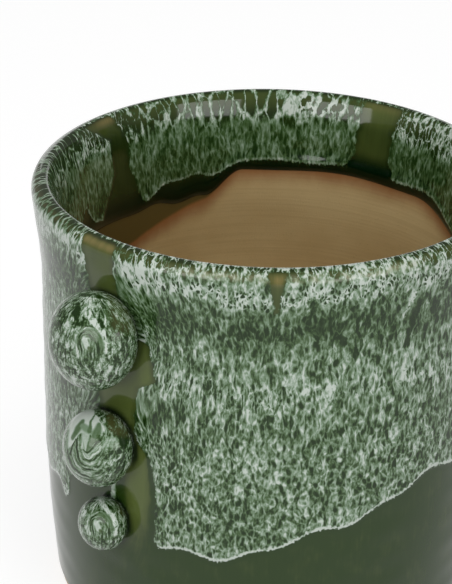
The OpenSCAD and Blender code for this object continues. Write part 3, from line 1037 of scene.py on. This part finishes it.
def bare_glass(g, where):
    """The bare glass: deep or light olive, with painted highlight by the balls, ochre over a ridge, dark in
    pools and in painted crease shade.
    """
    white, cell, thin, pool_and_shade = g.attributes("white", "cell", "thin", "pool_and_shade")
    station, light, rib = g.attributes("station", "light", "rib")
    streak = g.noise(stretched(g, where, 1.2, 12))
    cloud = g.noise(stretched(g, where, 7, 12))
    rim = g.step(white, -3.2, -0.4, 0, 0.22)
    # light: the bare glass's own tone, with the painted highlight patches by the balls
    shade = g.plus(light, g.plus(centred(g, cloud, 0.35), centred(g, streak, 0.18)))
    shade = g.math("SUBTRACT", shade, rim, clamp=True)
    plain = g.blend(shade, OLIVE_DEEP, OLIVE_LIGHT)
    deep = g.times(g.step(station, -60, -95, 0, 0.85), g.step(shade, 0.75, 0.45))
    plain = g.blend(deep, plain, GLASS_GREEN)
    bare = g.larger(g.step(white, 0.8, -0.4), g.times(cell, 0.75))
    under = g.blend(bare, GREEN_DARK, plain)
    open_run = g.larger(g.step(white, 1, -1.2, 0.08, 0.78), g.times(rib, 0.22))
    ochre = g.times(g.clamped(thin), g.step(streak, 0.3, 0.62, 0.7, 1))
    under = g.blend(g.times(ochre, open_run), under, OCHRE)
    # Pooled glaze by the inner line, and painted shade in the creases above and right of the balls
    return g.blend(g.clamped(pool_and_shade), under, POOLED_AND_SHADE)


def whole_tone(g, where, bent):
    """How white the glaze is away from edges: flecks on the wall, lace on the lip."""
    cover, cell, station = g.attributes("cover", "cell", "station")
    calmer = g.step(station, 6, 15, 1, 0.55)
    shaded = g.times(g.step(station, -46, -34), g.step(station, -15, -22))
    calmer = g.times(calmer, g.step(shaded, 0, 1, 1, 0.8))
    flecks = wall_flecks(g, where, bent, cover)
    flecks = g.plus(cover, g.times(g.minus(flecks, cover), calmer))
    return g.lerp(cell, flecks, lip_lace(g, where, bent, cover))


def edge_line(g, low, comb, rag):
    """The pale line along the white's lower edge, but not near the lip."""
    station = g.attribute("station")
    near_low = g.plus(low, rag)
    return g.times(g.step(near_low, -0.3, 0.1), g.step(near_low, 0.8, 2, 1, 0),
                   g.lerp(g.step(station, -1, 0), 1, g.step(comb, 0.35, 0.55, 0.3, 1)),
                   g.step(g.math("ABSOLUTE", station), 24, 34), g.step(station, -1, 0, 0.75, 0.36))


def fringe(g, low, white, comb):
    """Faint threads that hang below the white inside."""
    return g.times(g.step(comb, 0.4, 0.62), g.step(low, -4, -0.2), g.step(g.attribute("station"), 20, 28),
                   0.16, g.step(g.minus(low, white), 1, 0.2), g.step(white, 0.4, -0.2))


def glaze_material():
    """The pot's melted glaze: white flecks and lace over green glass."""
    g = Graph("reactive_glaze")
    where = g.attribute("flow", "Vector")
    white, low, cream = g.attributes("white", "low", "cream")
    bent = bent_by(g, where, (0.14, 0.14, 0.09), (3.4, 3.4, 4))
    rag = centred(g, g.noise(stretched(g, bent, 1.1, 1.8), 2, 0.6), 3.2)
    inside = g.step(g.plus(white, rag), -0.3, 0.5)
    comb = g.noise(stretched(g, where, 0.9, 30), 1, 0.5)
    tone = g.plus(whole_tone(g, where, bent), edge_line(g, low, comb, rag))
    tone = g.larger(g.times(tone, inside), fringe(g, low, white, comb))
    colour = glaze_colour(g, tone, bare_glass(g, where))
    patchy = g.step(g.noise(stretched(g, where, 4.5, 3), 2, 0.6), 0.36, 0.64, 0.08, 0.5)
    # The cream band over the lip's ridge: the glaze's own cream with a painted highlight
    colour = g.blend(g.times(cream, g.times(patchy, inside)), colour, CREAM_AND_HIGHLIGHT)
    height = g.times(g.step(tone, 0.2, 0.9), 0.05)
    return g.surface(colour, GLAZE_ROUGH, g.relief(height), GLAZE_IOR)


def below_green_line(g, x, y, z):
    """How far a point inside lies below the green line, and its azimuth."""
    turn = g.times(g.math("ARCTAN2", y, x), 180 / math.pi)
    turn = g.math("WRAP", turn, 360, 0)
    step = INNER_LINE_DEEP - INNER_LINE_HIGH
    far = g.times(g.step(turn, 152, 140), g.step(turn, 58, 84))
    near = g.times(g.step(turn, 300, 270), g.step(turn, 225, 245))
    line_z = g.plus(POT_H - INNER_LINE_DEEP, g.times(far, step), g.times(near, step / 2))
    return g.minus(line_z, g.times(z, 1 / MM)), turn


def clay_material():
    """Fired clay with throwing lines, stained where the glaze washed down, and darkest under the glaze roll
    as painted shade.
    """
    g = Graph("fired_clay")
    where = g.add("ShaderNodeTexCoord", {}).outputs["Object"]
    x, y, z = g.add("ShaderNodeSeparateXYZ", {0: where}).outputs
    lines = g.noise(g.spread(where, 14, 14, 700), 3, 0.6)
    grain = g.noise(g.spread(where, 1500, 1500, 1500), 2, 0.6)
    cloud = g.noise(g.spread(where, 22, 22, 30), 3, 0.5)
    base = g.blend(g.step(cloud, 0.35, 0.65), CLAY_DULL, CLAY_PALE)
    base = g.blend(g.times(g.step(lines, 0.4, 0.7), 0.16), base, CLAY_RING)
    base = g.blend(g.times(g.step(grain, 0.64, 0.74), 0.35), base, CLAY_GRAIN)
    below, turn = below_green_line(g, x, y, z)
    uneven = centred(g, g.noise(g.spread(where, 90, 90, 60), 3, 0.6), 5)
    wash_low = g.times(g.step(turn, 143, 190), g.step(turn, 250, 225), 18)
    wash_in = g.minus(wash_low, g.plus(below, g.times(uneven, 0.25)))
    reach = g.plus(below, g.plus(uneven, g.times(wash_low, -1)))
    # Brown stain below the green line, darkest right at the line, where it also stands as painted shade under
    # the glaze roll
    base = g.blend(g.times(g.step(reach, 10.5, -1.5), 0.95), base, WASH_BROWN_AND_SHADE)
    base = g.blend(g.step(wash_in, 0, 2.2), base, WASH_OLIVE)
    height = g.plus(g.times(lines, 0.1), g.times(grain, 0.05))
    return g.surface(base, CLAY_ROUGH, g.relief(height), CLAY_IOR)


def ball_material(k):
    """Ball k's glaze: rings where its swirl is drawn, strokes elsewhere."""
    g = Graph("marbled_glaze_" + str(k))
    where, swirl, strokes = (g.attribute(name, "Vector") for name in ("local", "swirl", "strokes"))
    lines, level, calm, shift, brown, rim = g.attributes("lines", "level", "calm", "shift", "brown", "rim")
    push = g.push(g.scaled(where, 0.28), 0.5)
    bent = g.vector("ADD", swirl, g.scaled(push, 1.6))
    rings = g.noise(g.spread(bent, RING_PITCH[k], 0.1, 1), 2, 0.6)
    strokes = g.vector("ADD", strokes, g.scaled(push, 3))
    strokes = g.noise(g.spread(strokes, 0.8, 0.8, 0.24), 3, 0.6, 0.3)
    crooked = g.vector("ADD", where, g.scaled(push, 4))
    blots = g.noise(g.scaled(crooked, 0.36), 3, 0.6, 0.5)
    specks = g.noise(g.scaled(crooked, 1.1), 2, 0.6)
    fine = g.plus(centred(g, strokes, 2.9), g.plus(centred(g, blots, 1.9), centred(g, specks, 1)))
    ring_tone = g.plus(centred(g, rings, 3), centred(g, specks, 0.5))
    tone = g.plus(g.lerp(lines, fine, ring_tone), g.plus(0.46, shift))
    tone = g.lerp(calm, tone, g.plus(level, centred(g, specks, 0.15)))
    colour = glaze_colour(g, tone, g.blend(brown, GREEN_DARK, BALL_GLASS))
    colour = g.blend(g.times(brown, 0.35), colour, BALL_HAZE)
    # Painted shade, with pooled glaze, where the ball turns in to meet the wall
    colour = g.blend(g.times(rim, 0.85), colour, BALL_CREASE_POOL_AND_SHADE)
    height = g.times(g.step(tone, 0.2, 0.9), 0.04)
    return g.surface(colour, GLAZE_ROUGH, g.relief(height), GLAZE_IOR)


def plain_floor_material():
    """Pale matte floor, white to the eye, with the pot's soft shadow on it."""
    g = Graph("pale_floor")
    path = g.add("ShaderNodeLightPath", {})
    level = g.lerp(path.outputs["Is Glossy Ray"], 0.12, 0.64)
    level = g.lerp(path.outputs["Is Camera Ray"], level, 0.77)
    glow = g.add("ShaderNodeEmission", {"Color": (1, 1, 1, 1), "Strength": level})
    matte = g.add("ShaderNodeBsdfDiffuse", {"Color": (0.36, 0.36, 0.36, 1)})
    return g.finished(g.add("ShaderNodeAddShader", {0: glow.outputs[0], 1: matte.outputs[0]}))


# ---- Stage, light and camera ----

# The camera's azimuth, and its distance and height over the lip in millimetres
VIEW_AZ = 310.8
CAMERA_AWAY = 840.652
CAMERA_UP = 352.783
# The way it looks and its upper side, as if it stood at -Y
CAMERA_FORWARD = (-0.02007833, 0.89892524, -0.43764171)
CAMERA_TOP = (-0.02242837, 0.43721483, 0.89907739)
# Focal length and longer side of its picture in pixels, and the sensor's width
FOCAL_PIXELS = 2200
PICTURE_PIXELS = 584
SENSOR = 36
# Distance of the lights and half width of the floor, in metres
LIGHT_AWAY = 2.4
FLOOR_HALF = 6.0


def put(name, data):
    """An object, linked into the scene."""
    thing = bpy.data.objects.new(name, data)
    bpy.context.scene.collection.objects.link(thing)
    return thing


def turned(vector):
    """A vector given as if the camera stood at -Y, turned to where it stands."""
    return Matrix.Rotation(math.radians(VIEW_AZ - 270), 3, "Z") @ Vector(vector)


def add_camera():
    data = bpy.data.cameras.new("camera")
    data.sensor_width = SENSOR
    data.lens = SENSOR * FOCAL_PIXELS / PICTURE_PIXELS
    data.clip_start, data.clip_end = 0.01, 50
    camera = put("camera", data)
    forward = turned(CAMERA_FORWARD).normalized()
    right = forward.cross(turned(CAMERA_TOP)).normalized()
    up = right.cross(forward)
    place = turned((0, -CAMERA_AWAY, CAMERA_UP)) + Vector((0, 0, POT_H))
    turn = Matrix((right, up, -forward)).transposed().to_4x4()
    camera.matrix_world = Matrix.Translation(place * MM) @ turn
    bpy.context.scene.camera = camera


def add_softbox(name, azimuth, elevation, width, height, level):
    """A soft light turned to the pot, its face as bright as level."""
    data = bpy.data.lights.new(name, "AREA")
    data.shape, data.size, data.size_y = "RECTANGLE", width, height
    data.energy = level * math.pi * width * height
    lamp = put(name, data)
    a, e = math.radians(azimuth), math.radians(elevation)
    away = Vector((math.cos(a) * math.cos(e), math.sin(a) * math.cos(e), math.sin(e)))
    lamp.location = away * LIGHT_AWAY + Vector((0, 0, POT_H * MM))
    lamp.rotation_mode = "QUATERNION"
    lamp.rotation_quaternion = away.to_track_quat("Z", "Y")
    return lamp


def add_lights():
    """A light above, a backdrop, and a softbox on each side of the camera."""
    # Lights the pot's inside and stays out of its reflections
    overhead = add_softbox("overhead", VIEW_AZ, 68, 1.8, 1.8, 2.6)
    overhead.visible_glossy = False
    # Shows only as a thin light line along the lip's edge
    backdrop = add_softbox("backdrop", VIEW_AZ + 180, 6, 2.0, 0.9, 1.0)
    backdrop.visible_diffuse = False
    backdrop.visible_camera = False
    add_softbox("softbox_right", VIEW_AZ + 36, 10, 1.5, 0.9, 3.8)
    add_softbox("softbox_left", VIEW_AZ - 36, 10, 1.5, 0.9, 3.8)


def add_world(lit, seen, reflected):
    """A grey surrounding: its brightness as light, as seen and as reflected."""
    g = Graph("studio", bpy.data.worlds)
    bpy.context.scene.world = g.owner
    path = g.add("ShaderNodeLightPath", {})
    level = g.lerp(path.outputs["Is Glossy Ray"], lit, reflected)
    level = g.lerp(path.outputs["Is Camera Ray"], level, seen)
    back = g.add("ShaderNodeBackground", {"Strength": level})
    g.add("ShaderNodeOutputWorld", {"Surface": back.outputs[0]})


def add_floor():
    mesh = bpy.data.meshes.new("floor")
    corners = [(x * FLOOR_HALF, y * FLOOR_HALF, 0) for x, y in ((-1, -1), (1, -1), (1, 1), (-1, 1))]
    mesh.from_pydata(corners, [], [(0, 1, 2, 3)])
    mesh.materials.append(plain_floor_material())
    put("floor", mesh)


# ---- Assembly ----

def dress(piece, material):
    piece.data.materials.clear()
    piece.data.materials.append(material)


def main():
    coat = build_coat()
    dress(coat, glaze_material())
    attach(coat, "root")
    for k, name in enumerate(("upper_ball", "middle_ball", "lower_ball")):
        ball = build_ball(k, name)
        dress(ball, ball_material(k))
        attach(ball, "root")
    dress(frame["nodes"]["pot_body"], clay_material())
    add_floor()
    add_world(lit=0.38, seen=1.0, reflected=0.4)
    add_lights()
    add_camera()
    bpy.context.scene.view_settings.view_transform = "Standard"


main()

bpy.context.view_layer.update()
